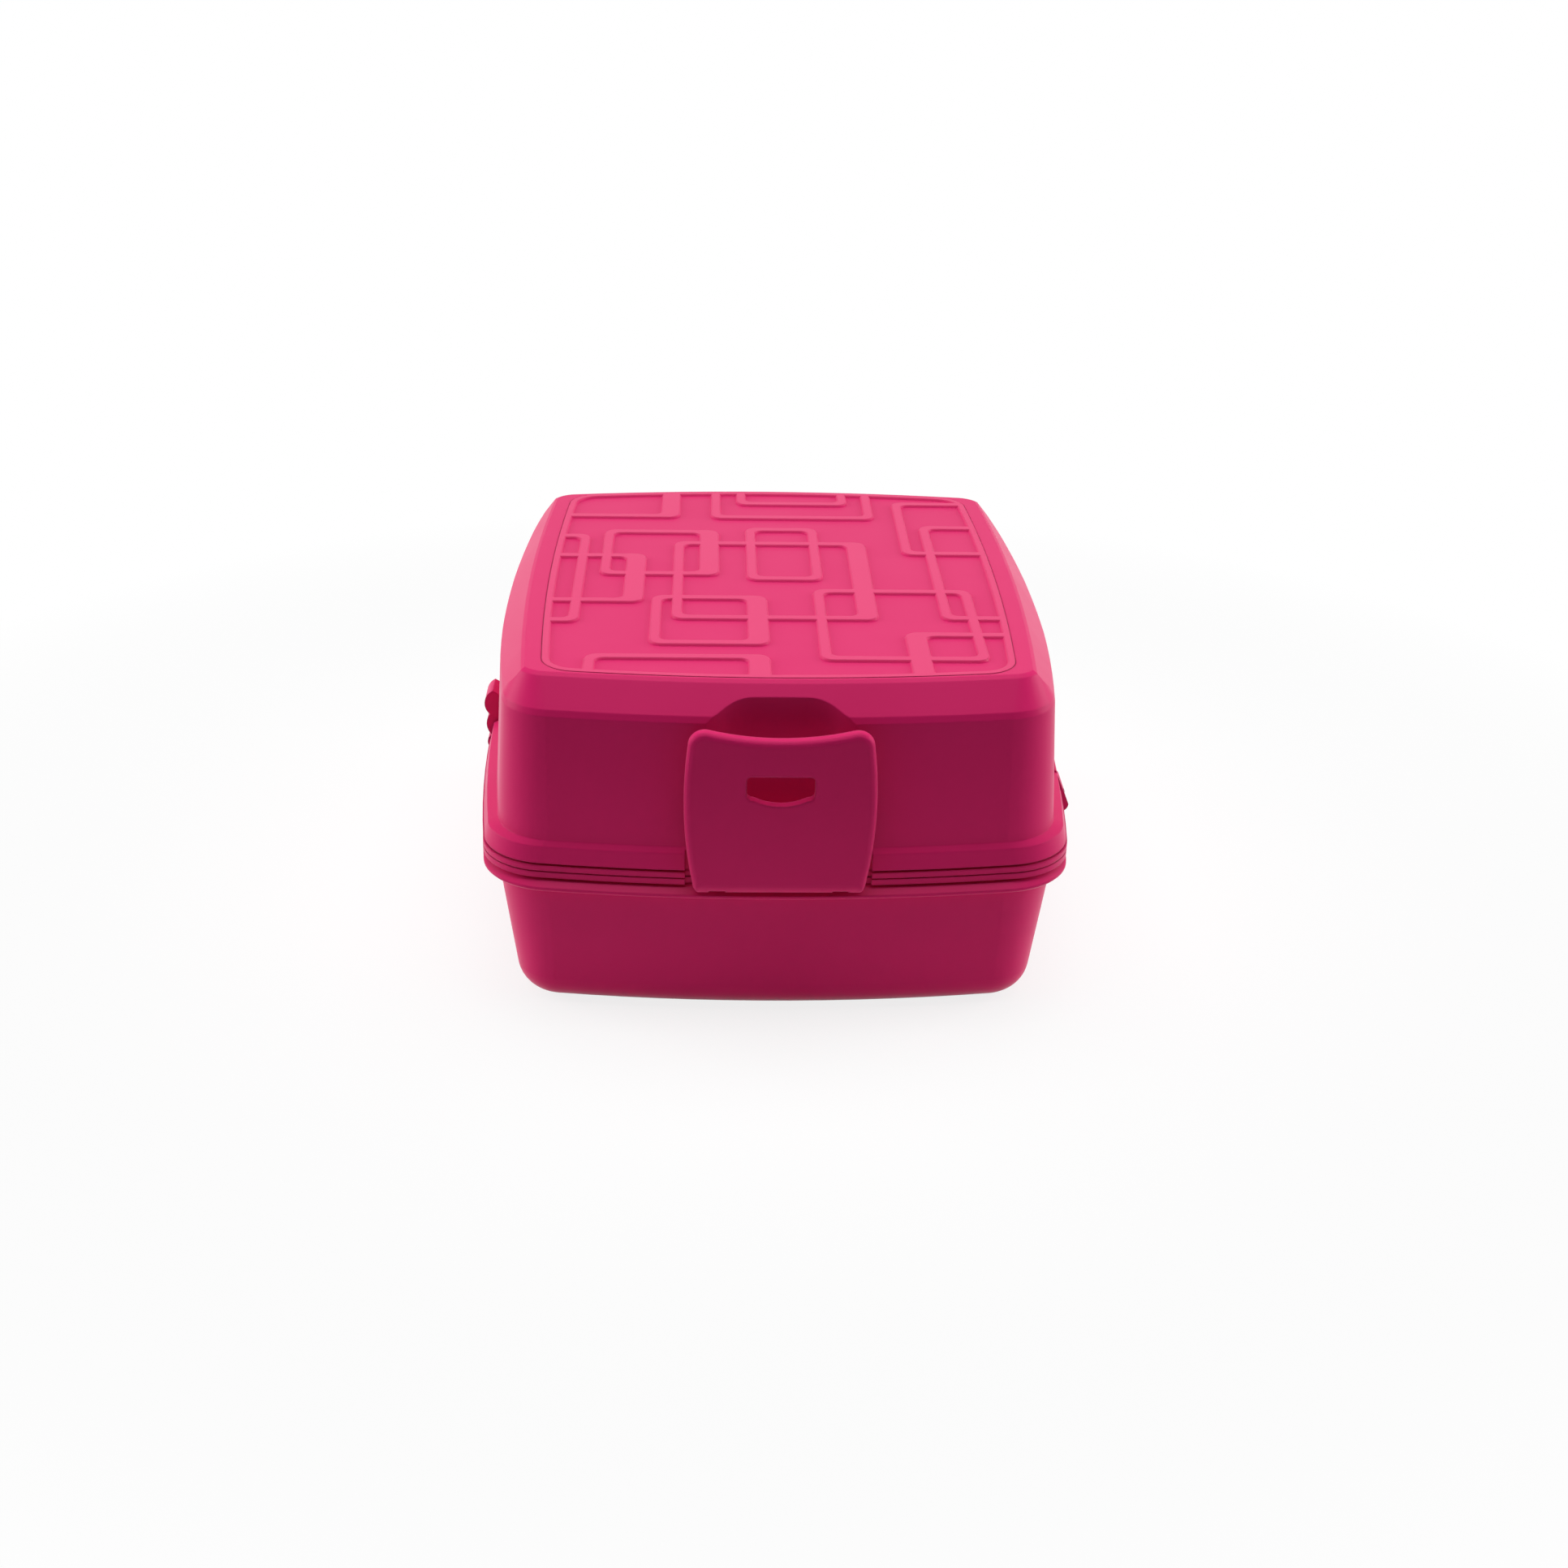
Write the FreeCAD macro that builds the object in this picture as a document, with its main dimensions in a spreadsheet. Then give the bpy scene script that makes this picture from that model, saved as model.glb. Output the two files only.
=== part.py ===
import FreeCAD, Part
import math
import os
import re

import Sketcher

# Bobbin box: a moulded two-part case with a hinged lid, two end latches, a side latch and a lift-out
# tray with lanes for bobbins. Millimetres, +Z up, the long way along Y, the front latch at -Y,
# the hinge at +X. The origin is at the middle of the underside.

doc = FreeCAD.newDocument("bobbin_box")
sheet = doc.addObject("Spreadsheet::Sheet", "dims")

# A size is a length in millimetres or an angle in degrees. One that starts with = follows from others.
SIZES = {
    # How far a cut runs on past the faces that it cuts
    "over": 4.0,
    # Plan of the widest edge: bowed sides, bowed ends and round corners
    "rim_half_x": 69.0,
    "rim_half_y": 78.6,
    "rim_side_r": 520.0,
    "rim_end_r": 360.0,
    "rim_corner_r": 17.0,
    # Base: insets are measured inwards from the plan of the rim
    "floor_t": 2.2,
    "foot_inset": 7.3,
    "foot_r": 8.0,
    "base_wall_z": 32.5,
    "base_wall_inset": 2.8,
    "lip_t": 2.3,
    "lip_z": "=base_wall_z + lip_t",
    "lip_edge": 0.5,
    "lip_slope_h": 1.3,
    "lip_slope_in": 1.9,
    "rim_side_out": 0.6,
    "neck_inset": 2.8,
    "groove_t": 0.55,
    "bead_inset": 1.4,
    "bead_side_out": 0.5,
    "bead_t": 1.35,
    "base_top_z": "=lip_z + groove_t + bead_t",
    "base_floor_inset": 9.8,
    "base_inner_r": 6.0,
    "base_inner_inset": 6.6,
    "tongue_inset": 5.3,
    "tongue_rise": 1.8,
    # Lid
    "seam": 0.3,
    "lid_z": "=base_top_z + seam",
    "lid_bead_t": 1.25,
    "skirt_inset": 1.5,
    "skirt_side_out": 0.2,
    "skirt_top_inset": 2.0,
    "skirt_draft": 0.9,
    "skirt_t": 3.85,
    "skirt_z": "=lid_z + lid_bead_t + groove_t",
    "shoulder_z": "=skirt_z + skirt_t",
    "shoulder_t": 1.15,
    "lid_foot_z": "=shoulder_z + shoulder_t",
    "lid_foot_inset": 3.0,
    "lid_inner_inset": 5.0,
    "lid_wall_h": 29.6,
    "lid_wall_z": "=lid_foot_z + lid_wall_h",
    "lid_wall_inset": 4.7,
    "lid_wall_t": 2.0,
    "bevel_h": 6.6,
    "lid_top_z": "=lid_wall_z + bevel_h",
    "bevel_end_inset": 11.6,
    "bevel_side_inset": 8.8,
    "bevel_corner_r": 6.0,
    "bevel_soft": 0.55,
    "side_bevel_h": 8.0,
    "side_bevel_inset": 4.3,
    "side_bevel_top_inset": 10.8,
    "side_bevel_r": 800.0,
    "side_bevel_turn": 26.0,
    "roof_t": 2.0,
    # Finger scoops behind the end latches
    "scoop_half": 19.0,
    "scoop_crown": 6.0,
    "scoop_depth": 3.8,
    "scoop_h": 28.0,
    "scoop_z": "=lid_top_z - scoop_h",
    # Top panel, set in a seat in the lid
    "panel_side_inset": 15.2,
    "panel_end_inset": 12.9,
    "panel_half_x": "=rim_half_x - panel_side_inset",
    "panel_half_y": "=rim_half_y - panel_end_inset",
    "panel_side_r": 930.0,
    "panel_end_r": 333.0,
    "panel_corner_r": 8.0,
    "panel_t": 1.8,
    "panel_gap": 0.12,
    "seat_depth": 1.7,
    "seat_z": "=lid_top_z - seat_depth",
    "roof_z": "=seat_z - roof_t",
    "frame_w": 1.9,
    "relief": 0.6,
    "relief_draft": 35.0,
    "stroke": 2.9,
    "wide_stroke": 5.3,
    "ring_r": 3.2,
    # Latches: common
    "latch_swing": 80.0,
    "lug_angle": 33.0,
    "lug_t": 1.6,
    "lug_gap": 0.35,
    "lug_free_shut": 10.0,
    "lug_free_open": 26.0,
    "bore_gap": 0.06,
    # End latches: the pin's line, then distances out and up from it
    "latch_out": 0.1,
    "latch_rise": 1.3,
    "latch_d": "=rim_half_y + latch_out",
    "latch_z": "=base_top_z + latch_rise",
    "latch_barrel_r": 3.0,
    "latch_pin_r": 1.0,
    "latch_boss_r": 1.9,
    "latch_lug_in": 12.0,
    "latch_lug_out": 15.0,
    "latch_lug_reach": 4.9,
    "latch_t": 2.4,
    "latch_h": 35.8,
    "latch_top_z": "=latch_z + latch_h",
    "latch_half_low": 18.9,
    "latch_half_top": 19.9,
    "latch_side_r": 100.0,
    "latch_dip_r": 66.0,
    "latch_low_r": 2.8,
    "latch_top_r": 3.6,
    "latch_edge_r": 1.4,
    "latch_barrel_half": 18.0,
    "latch_room": 0.3,
    "slot_half": 7.3,
    "slot_drop": 10.1,
    "slot_side_h": 4.6,
    "slot_top_z": "=latch_top_z - slot_drop",
    "slot_side_z": "=slot_top_z - slot_side_h",
    "slot_r": 13.0,
    "slot_low_r": 1.5,
    "slot_low_h": 1.0,
    "slot_corner_r": 1.0,
    "rib_half": 9.0,
    "rib_drop": 22.4,
    "rib_z": "=latch_top_z - rib_drop",
    "rib_t": 2.0,
    "rib_back": 1.3,
    "rib_d": "=latch_d - rib_back",
    "tooth_half": 8.0,
    "tooth_back": 1.7,
    "tooth_d": "=latch_d - tooth_back",
    "tooth_t": 1.5,
    "tooth_slope": 2.2,
    "tooth_depth": 4.5,
    "tooth_root": "=latch_d - tooth_depth",
    # Side latch: the pin's line, then distances out and up from it
    "side_in": 1.1,
    "side_rise": 0.5,
    "side_d": "=rim_half_x - side_in",
    "side_z": "=base_top_z + side_rise",
    "side_barrel_r": 2.2,
    "side_pin_r": 0.8,
    "side_boss_r": 1.5,
    "side_lug_in": 1.2,
    "side_lug_out": 2.8,
    "side_lug_reach": 3.8,
    "side_half": 4.0,
    "side_roll_angle": 135.0,
    "side_tip_t": 1.0,
    "side_back": 1.1,
    "side_inner_d": "=side_d - side_back",
    "side_neck_out": 1.0,
    "side_neck_h": 1.8,
    "side_waist_out": 1.4,
    "side_waist_h": 7.4,
    "side_top_out": 0.5,
    "side_h": 13.6,
    "side_top_z": "=side_z + side_h",
    "side_low_lobe_r": 4.2,
    "side_top_lobe_r": 3.8,
    "side_tooth_back": 1.4,
    "side_tooth_d": "=side_d - side_tooth_back",
    "side_tooth_depth": 2.9,
    "side_tooth_root": "=side_d - side_tooth_depth",
    "side_tooth_h": 8.0,
    "side_tooth_z": "=side_z + side_tooth_h",
    "side_tooth_t": 1.0,
    # Hinge: the pin's line, then distances from it
    "hinge_in": 0.5,
    "hinge_drop": 2.1,
    "hinge_x": "=rim_half_x - hinge_in",
    "hinge_z": "=base_top_z - hinge_drop",
    "knuckle_r": 2.0,
    "hinge_pin_r": 0.9,
    "ear_out": 33.0,
    "ear_in": 27.0,
    "barrel_in": 17.0,
    "ear_gap": 0.3,
    "hinge_pin_drop": 1.0,
    "ear_root": 3.0,
    "ear_top": 1.6,
    "ear_rise": 8.8,
    "ear_top_z": "=hinge_z + ear_rise",
    # Tray
    "tray_foot_inset": 11.8,
    "tray_foot_r": 7.0,
    "tray_top_inset": 9.8,
    "tray_h": 27.8,
    "tray_top_z": "=floor_t + tray_h",
    "tray_wall": 1.6,
    "tray_inner_r": 5.0,
    "lane_pitch": 22.4,
    "lane_wall": 1.4,
    "lane_drop": 8.0,
    "lane_wall_z": "=tray_top_z - lane_drop",
    "lane_foot_r": 4.0,
    "grip_r": 14.0,
}

# Raised rings on the panel: west, east, south and north edges, and the side that is drawn wide.
# A ring that runs out of the panel has its far edge past the frame, where the panel's edge trims it.
PAST = 90.0
LANES = 5

# Angles at which the section of a rounded edge is drawn, in degrees
ROUND_STEPS = (0, 30, 60, 90)

RINGS = {
    "ring_a": (-PAST, -22.9, 43.6, PAST, "east"),
    "ring_b": (-15.2, 27.6, 43.0, PAST, None),
    "ring_c": (-8.5, 21.2, 54.6, PAST, None),
    "ring_d": (-PAST, -45.2, -32.6, 29.9, None),
    "ring_e": (-PAST, -30.7, -19.4, 15.1, "east"),
    "ring_f": (-42.2, -12.8, -0.6, 33.7, "east"),
    "ring_g": (-24.4, 24.0, -30.4, 24.9, "east"),
    "ring_h": (-6.5, 12.2, -3.8, 35.9, None),
    "ring_i": (-29.2, -1.6, -46.3, -14.4, "east"),
    "ring_j": (-43.2, -1.7, -PAST, -51.9, "east"),
    "ring_k": (32.5, PAST, 15.4, 58.1, None),
    "ring_l": (38.2, PAST, -30.0, 38.5, None),
    "ring_m": (9.0, 47.0, -55.4, -9.5, None),
    "ring_n": (28.7, PAST, -PAST, -37.7, "west"),
}


def fill_sheet():
    """Write every size into the sheet, one aliased cell each."""
    cells = dict(SIZES)
    for name, (west, east, south, north, wide) in RINGS.items():
        cells[name + "_west"] = west
        cells[name + "_east"] = east
        cells[name + "_south"] = south
        cells[name + "_north"] = north
    for row, (name, value) in enumerate(cells.items(), start=1):
        sheet.set("A%d" % row, name)
        sheet.set("B%d" % row, str(value))
        sheet.setAlias("B%d" % row, name)
    doc.recompute()
    return set(cells)


NAMES = fill_sheet()


def bind(text):
    """Point the size names in an expression at the sheet."""
    def cell(match):
        word = match.group(0)
        return "dims." + word if word in NAMES else word
    return re.sub(r"[a-z][a-z_0-9]*", cell, str(text))


def number(text):
    """The value that an expression has now."""
    value = sheet.evalExpression(bind(text))
    return float(getattr(value, "Value", value))


PLANES = {
    "plan": FreeCAD.Rotation(),
    "front": FreeCAD.Rotation(FreeCAD.Vector(1, 0, 0), 90),
    "side": FreeCAD.Rotation(0.5, 0.5, 0.5, 0.5),
}
Z_AXIS = FreeCAD.Vector(0, 0, 1)
ORIGIN = (-1, 1)
START, END, CENTRE = 1, 2, 3


def new_sketch(name, plane, turn=0, z=None, forward=None):
    """A sketch on a main plane, turned about Z for a piece on another side of the box. It may be
    raised to a height, or moved forward towards the end that the piece is on."""
    sketch = doc.addObject("Sketcher::SketchObject", name)
    rotation = FreeCAD.Rotation(Z_AXIS, turn) * PLANES[plane]
    sketch.Placement = FreeCAD.Placement(FreeCAD.Vector(0, 0, 0), rotation)
    if z is not None:
        sketch.setExpression("Placement.Base.z", bind(z))
    if forward is not None:
        sign = "-" if turn == 0 else ""
        sketch.setExpression("Placement.Base.y", bind("%s(%s)" % (sign, forward)))
    return sketch


def dimension(sketch, kind, geometry, text):
    """Add a driving dimension and bind it to the sheet."""
    index = sketch.addConstraint(Sketcher.Constraint(kind, *geometry, number(text)))
    sketch.setExpression("Constraints[%d]" % index, bind(text))


def pin_point(sketch, geometry, x, y):
    """Tie a sketch point to the origin by its two coordinates."""
    dimension(sketch, "DistanceX", ORIGIN + geometry, x)
    dimension(sketch, "DistanceY", ORIGIN + geometry, y)


def loop(sketch, steps):
    """A closed loop. A step is (x, y) for a straight run to the next point, or
    (x, y, radius, side) for an arc to it that turns to the left (1) or to the right (-1)."""
    points = [FreeCAD.Vector(number(s[0]), number(s[1]), 0) for s in steps]
    first = sketch.GeometryCount
    ends = []
    for i, step in enumerate(steps):
        a, b = points[i], points[(i + 1) % len(points)]
        if len(step) == 2:
            index = sketch.addGeometry(Part.LineSegment(a, b), False)
            ends.append(((index, START), (index, END)))
            continue
        radius, side = number(step[2]), step[3]
        chord = b - a
        left = FreeCAD.Vector(-chord.y, chord.x, 0).normalize()
        rise = math.sqrt(max(radius * radius - chord.Length ** 2 / 4, 0.0))
        centre = (a + b) * 0.5 + left * (rise * side)
        tail, head = (a, b) if side > 0 else (b, a)
        angles = [math.atan2(p.y - centre.y, p.x - centre.x) for p in (tail, head)]
        circle = Part.Circle(centre, Z_AXIS, radius)
        index = sketch.addGeometry(Part.ArcOfCircle(circle, angles[0], angles[1]), False)
        ends.append(((index, START), (index, END)) if side > 0 else ((index, END), (index, START)))
    for i, step in enumerate(steps):
        joint = ends[i][1] + ends[(i + 1) % len(steps)][0]
        sketch.addConstraint(Sketcher.Constraint("Coincident", *joint))
    for i, step in enumerate(steps):
        pin_point(sketch, ends[i][0], step[0], step[1])
        if len(step) == 4:
            dimension(sketch, "Radius", (first + i,), step[2])


def disc(sketch, x, y, radius):
    """A circle tied to the sheet by its centre and radius."""
    centre = FreeCAD.Vector(number(x), number(y), 0)
    index = sketch.addGeometry(Part.Circle(centre, Z_AXIS, number(radius)), False)
    pin_point(sketch, (index, CENTRE), x, y)
    dimension(sketch, "Radius", (index,), radius)


def bowed_outline(name, z, half_x, half_y, side_r, end_r, corner_r):
    """A closed plan outline of two bowed sides, two bowed ends and four round corners, all tangent."""
    sketch = new_sketch(name, "plan", z=z)
    hx, hy, rs, re_, rc = (number(t) for t in (half_x, half_y, side_r, end_r, corner_r))
    side = FreeCAD.Vector(hx - rs, 0, 0)
    end = FreeCAD.Vector(0, hy - re_, 0)
    gap = side - end
    along = ((re_ - rc) ** 2 - (rs - rc) ** 2 + gap.Length ** 2) / (2 * gap.Length)
    across = math.sqrt((re_ - rc) ** 2 - along ** 2)
    unit = gap * (1 / gap.Length)
    corner = end + unit * along + FreeCAD.Vector(-unit.y, unit.x, 0) * across
    if corner.x < 0 or corner.y < 0:
        corner = end + unit * along - FreeCAD.Vector(-unit.y, unit.x, 0) * across
    a = math.atan2(corner.y, corner.x - side.x)
    b = math.atan2(corner.y - end.y, corner.x)
    pi = math.pi
    arcs = [
        (side.x, 0, rs, -a, a),
        (corner.x, corner.y, rc, a, b),
        (0, end.y, re_, b, pi - b),
        (-corner.x, corner.y, rc, pi - b, pi - a),
        (-side.x, 0, rs, pi - a, pi + a),
        (-corner.x, -corner.y, rc, pi + a, pi + b),
        (0, -end.y, re_, pi + b, 2 * pi - b),
        (corner.x, -corner.y, rc, 2 * pi - b, 2 * pi - a),
    ]
    for x, y, radius, start, stop in arcs:
        circle = Part.Circle(FreeCAD.Vector(x, y, 0), Z_AXIS, radius)
        sketch.addGeometry(Part.ArcOfCircle(circle, start, stop), False)
    for i in range(8):
        sketch.addConstraint(Sketcher.Constraint("Tangent", i, END, (i + 1) % 8, START))
    for i in (0, 4):
        dimension(sketch, "Radius", (i,), side_r)
        sketch.addConstraint(Sketcher.Constraint("PointOnObject", i, CENTRE, -1))
    for i in (2, 6):
        dimension(sketch, "Radius", (i,), end_r)
        sketch.addConstraint(Sketcher.Constraint("PointOnObject", i, CENTRE, -2))
    for i in (1, 3, 5, 7):
        dimension(sketch, "Radius", (i,), corner_r)
    x_offset = "(%s) - (%s)" % (side_r, half_x)
    y_offset = "(%s) - (%s)" % (end_r, half_y)
    dimension(sketch, "DistanceX", (0, CENTRE) + ORIGIN, x_offset)
    dimension(sketch, "DistanceX", ORIGIN + (4, CENTRE), x_offset)
    dimension(sketch, "DistanceY", (2, CENTRE) + ORIGIN, y_offset)
    dimension(sketch, "DistanceY", ORIGIN + (6, CENTRE), y_offset)
    return sketch


def inset_outline(name, z, end_inset, side_inset=None, corner_r=None):
    """The rim's plan moved inwards, at a height."""
    side_inset = side_inset or end_inset
    corner_r = corner_r or "rim_corner_r - (%s)" % end_inset
    return bowed_outline(
        name, z,
        "rim_half_x - (%s)" % side_inset, "rim_half_y - (%s)" % end_inset,
        "rim_side_r - (%s)" % side_inset, "rim_end_r - (%s)" % end_inset, corner_r)


def loft(name, *sections):
    feature = doc.addObject("Part::Loft", name)
    feature.Sections = list(sections)
    feature.Solid = True
    feature.Ruled = True
    return feature


def extrude(name, sketch, length, both_ways=False, taper=None):
    feature = doc.addObject("Part::Extrusion", name)
    feature.Base = sketch
    feature.DirMode = "Normal"
    feature.Solid = True
    feature.Symmetric = both_ways
    feature.setExpression("LengthFwd", bind(length))
    if taper is not None:
        feature.setExpression("TaperAngle", bind(taper))
    return feature


def ring_of(name, z, height, end_inset):
    """A flat slab with the rim's plan moved inwards."""
    return extrude(name, inset_outline(name + "_plan", z, end_inset), height)


def fuse(name, *shapes):
    feature = doc.addObject("Part::MultiFuse", name)
    feature.Shapes = list(shapes)
    return feature


def cut(name, base, tool):
    feature = doc.addObject("Part::Cut", name)
    feature.Base = base
    feature.Tool = tool
    return feature


def common(name, base, tool):
    feature = doc.addObject("Part::Common", name)
    feature.Base = base
    feature.Tool = tool
    return feature


def fillet(name, base, radius, chosen):
    """Round the edges that a test picks."""
    doc.recompute()
    feature = doc.addObject("Part::Fillet", name)
    feature.Base = base
    size = number(radius)
    picked = [i for i, edge in enumerate(base.Shape.Edges, start=1) if chosen(edge)]
    feature.Edges = [(i, size, size) for i in picked]
    return feature


def at_height(text, tolerance=0.01):
    """A test for edges that lie wholly at one height."""
    level = number(text)

    def level_edge(edge):
        box = edge.BoundBox
        return max(abs(box.ZMin - level), abs(box.ZMax - level)) < tolerance
    return level_edge


def pair(name, sketch, outer, inner):
    """Two like pieces either side of the middle: a profile run out to one distance, less its middle."""
    whole = extrude(name + "_whole", sketch, "2 * (%s)" % outer, both_ways=True)
    middle = extrude(name + "_middle", sketch, "2 * (%s)" % inner, both_ways=True)
    return cut(name, whole, middle)


X_AXIS = FreeCAD.Vector(1, 0, 0)


class LatchSet:
    """The sizes that place one latch: which way it faces and where its pin lies."""

    def __init__(self, node, turn, kind):
        self.node = node
        self.turn = turn
        self.kind = kind
        self.d = kind + "_d"
        self.z = kind + "_z"
        self.barrel_r = kind + "_barrel_r"
        self.pin_r = kind + "_pin_r"
        self.boss_r = kind + "_boss_r"
        self.lug_in = kind + "_lug_in"
        self.lug_out = kind + "_lug_out"
        self.reach = kind + "_lug_reach"
        self.half = "latch_barrel_half" if kind == "latch" else "side_half"

    def polar(self, radius, angle):
        """A point of the latch's cross-section, measured from the pin."""
        x = "-(%s) + (%s) * cos(%s)" % (self.d, radius, angle)
        y = "%s + (%s) * sin(%s)" % (self.z, radius, angle)
        return x, y

    def sketch(self, name):
        return new_sketch(self.node + "_" + name, "side", self.turn)

    def lugs(self):
        """Two lugs on the base that carry the pin, each on an arm from the rim."""
        arm = self.sketch("arm")
        lean = "-lug_angle"
        foot = self.polar(self.reach, lean)
        side = ("lug_t / 2 * sin(lug_angle)", "lug_t / 2 * cos(lug_angle)")
        head = ("-(%s)" % self.d, self.z)
        loop(arm, [
            ("%s - %s" % (head[0], side[0]), "%s - %s" % (head[1], side[1])),
            ("%s - %s" % (foot[0], side[0]), "%s - %s" % (foot[1], side[1])),
            ("%s + %s" % (foot[0], side[0]), "%s + %s" % (foot[1], side[1])),
            ("%s + %s" % (head[0], side[0]), "%s + %s" % (head[1], side[1])),
        ])
        boss = self.sketch("boss")
        disc(boss, head[0], head[1], self.boss_r)
        arms = pair(self.node + "_arms", arm, self.lug_out, self.lug_in)
        bosses = pair(self.node + "_bosses", boss, self.lug_out, self.lug_in)
        return [arms, bosses]

    def lug_slots(self):
        """Room in the latch for the lugs through the whole swing."""
        sweep = self.sketch("sweep")
        reach = "2 * (%s)" % self.barrel_r
        stop = "-(lug_angle + latch_swing + lug_free_open)"
        loop(sweep, [
            ("-(%s)" % self.d, self.z),
            self.polar(reach, stop),
            self.polar(reach, "(%s) * 2 / 3" % stop),
            self.polar(reach, "(%s) / 3" % stop),
            self.polar(reach, "lug_free_shut"),
        ])
        eye = self.sketch("eye")
        disc(eye, "-(%s)" % self.d, self.z, "%s + lug_gap" % self.boss_r)
        outer = "%s + ear_gap" % self.lug_out
        inner = "%s - ear_gap" % self.lug_in
        sweeps = pair(self.node + "_sweeps", sweep, outer, inner)
        eyes = pair(self.node + "_eyes", eye, outer, inner)
        return fuse(self.node + "_lug_slots", sweeps, eyes)

    def bore(self, name, radius):
        """A hole right along the pin's line."""
        sketch = self.sketch(name + "_hole")
        disc(sketch, "-(%s)" % self.d, self.z, radius)
        length = "2 * (%s + over)" % self.half
        return extrude(self.node + "_" + name, sketch, length, both_ways=True)

    def pin(self):
        sketch = self.sketch("pin_round")
        disc(sketch, "-(%s)" % self.d, self.z, self.pin_r)
        pin = extrude(self.node + "_pin", sketch, "2 * (%s)" % self.half, both_ways=True)
        pin.Label = self.node + "_pin"
        return pin


FRONT = LatchSet("front_latch", 0, "latch")
REAR = LatchSet("rear_latch", 180, "latch")
SIDE = LatchSet("side_latch", -90, "side")
LATCHES = (FRONT, REAR, SIDE)


def end_room(latch):
    """The gap in both rims and the skirt that an end latch's foot lies in."""
    sketch = latch.sketch("room")
    back = "-(latch_d - latch_barrel_r - latch_room)"
    top = "lid_foot_z + latch_room"
    loop(sketch, [
        ("-(latch_d + 3 * latch_barrel_r)", "lip_z"),
        (back, "lip_z"),
        (back, top),
        ("-(latch_d + 3 * latch_barrel_r)", top),
    ])
    half = "latch_half_top + 2 * latch_room"
    return extrude(latch.node + "_room", sketch, "2 * (%s)" % half, both_ways=True)


def side_room(latch):
    """The gap in both rims behind the side latch: deep at its barrel, shallow above."""
    sketch = latch.sketch("room")
    out = "-(side_d + 4 * side_barrel_r)"
    deep = "-(side_d - side_barrel_r - latch_room)"
    shallow = "-(side_inner_d - latch_room)"
    step = "side_z + side_barrel_r + 2 * latch_room"
    top = "lid_foot_z + latch_room"
    loop(sketch, [
        (out, "lip_z"),
        (deep, "lip_z"),
        (deep, step),
        (shallow, step),
        (shallow, top),
        (out, top),
    ])
    half = "side_half + 2 * latch_room"
    return extrude(latch.node + "_room", sketch, "2 * (%s)" % half, both_ways=True)


ROOMS = {FRONT: end_room(FRONT), REAR: end_room(REAR), SIDE: side_room(SIDE)}


def hinge_disc(name, radius):
    sketch = new_sketch(name, "front")
    disc(sketch, "hinge_x", "hinge_z", radius)
    return sketch


def build_base():
    """The lower shell: tapered wall, sloped lip, rim bead, tongue, latch lugs and hinge barrels."""
    tub = loft(
        "tub",
        inset_outline("tub_foot", "0", "foot_inset"),
        inset_outline("tub_top", "base_wall_z", "base_wall_inset"))
    tub = fillet("tub_round", tub, "foot_r", at_height("0"))
    lip = loft(
        "lip",
        inset_outline("lip_under", "base_wall_z", "lip_edge", "lip_edge - rim_side_out"),
        inset_outline("lip_low", "base_wall_z + lip_edge", "0", "-rim_side_out"),
        inset_outline("lip_high", "lip_z - lip_slope_h", "0", "-rim_side_out"),
        inset_outline("lip_top", "lip_z", "lip_slope_in", "lip_slope_in - rim_side_out"))
    neck = ring_of("neck", "base_wall_z", "base_top_z - base_wall_z", "neck_inset")
    bead_plan = inset_outline("bead_plan", "lip_z + groove_t", "bead_inset", "-bead_side_out")
    bead = extrude("bead", bead_plan, "base_top_z - lip_z - groove_t")
    tongue = ring_of("tongue", "base_wall_z", "base_top_z + tongue_rise - base_wall_z", "tongue_inset")
    outer = fuse("base_outer", tub, lip, neck, bead, tongue)
    hollow = loft(
        "base_hollow",
        inset_outline("base_hollow_foot", "floor_t", "base_floor_inset"),
        inset_outline("base_hollow_top", "base_top_z + tongue_rise", "base_inner_inset"))
    hollow = fillet("base_hollow_round", hollow, "base_inner_r", at_height("floor_t"))
    shell = cut("base_shell", outer, hollow)
    ear_room = new_sketch("ear_room_profile", "front")
    inner = "hinge_x - knuckle_r - ear_gap"
    low = "hinge_z - knuckle_r - ear_gap"
    high = "base_top_z + tongue_rise"
    out = "hinge_x + knuckle_r + over"
    loop(ear_room, [(inner, low), (out, low), (out, high), (inner, high)])
    ear_rooms = pair("ear_rooms", ear_room, "ear_out + ear_gap", "ear_in - ear_gap")
    shell = cut("base_clear", shell, fuse("base_rooms", ear_rooms, *ROOMS.values()))
    saddle = new_sketch("saddle", "front")
    loop(saddle, [
        ("hinge_x - 2 * knuckle_r", "hinge_z + knuckle_r"),
        ("hinge_x - 2 * knuckle_r", "hinge_z - 1.5 * knuckle_r"),
        ("hinge_x", "hinge_z - 1.5 * knuckle_r"),
        ("hinge_x + knuckle_r", "hinge_z", "knuckle_r", 1),
        ("hinge_x", "hinge_z + knuckle_r"),
    ])
    barrels = pair("hinge_barrels", saddle, "ear_in - ear_gap", "barrel_in")
    lugs = [lug for latch in LATCHES for lug in latch.lugs()]
    solid = fuse("base_solid", shell, barrels, *lugs)
    holes = [latch.bore("base_bore", latch.pin_r) for latch in LATCHES]
    pin_round = hinge_disc("hinge_base_hole", "hinge_pin_r")
    pin_hole = extrude("hinge_base_bore", pin_round, "2 * (ear_out + over)", both_ways=True)
    base = cut("base", solid, fuse("base_bores", pin_hole, *holes))
    base.Label = "base"
    return base


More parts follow.
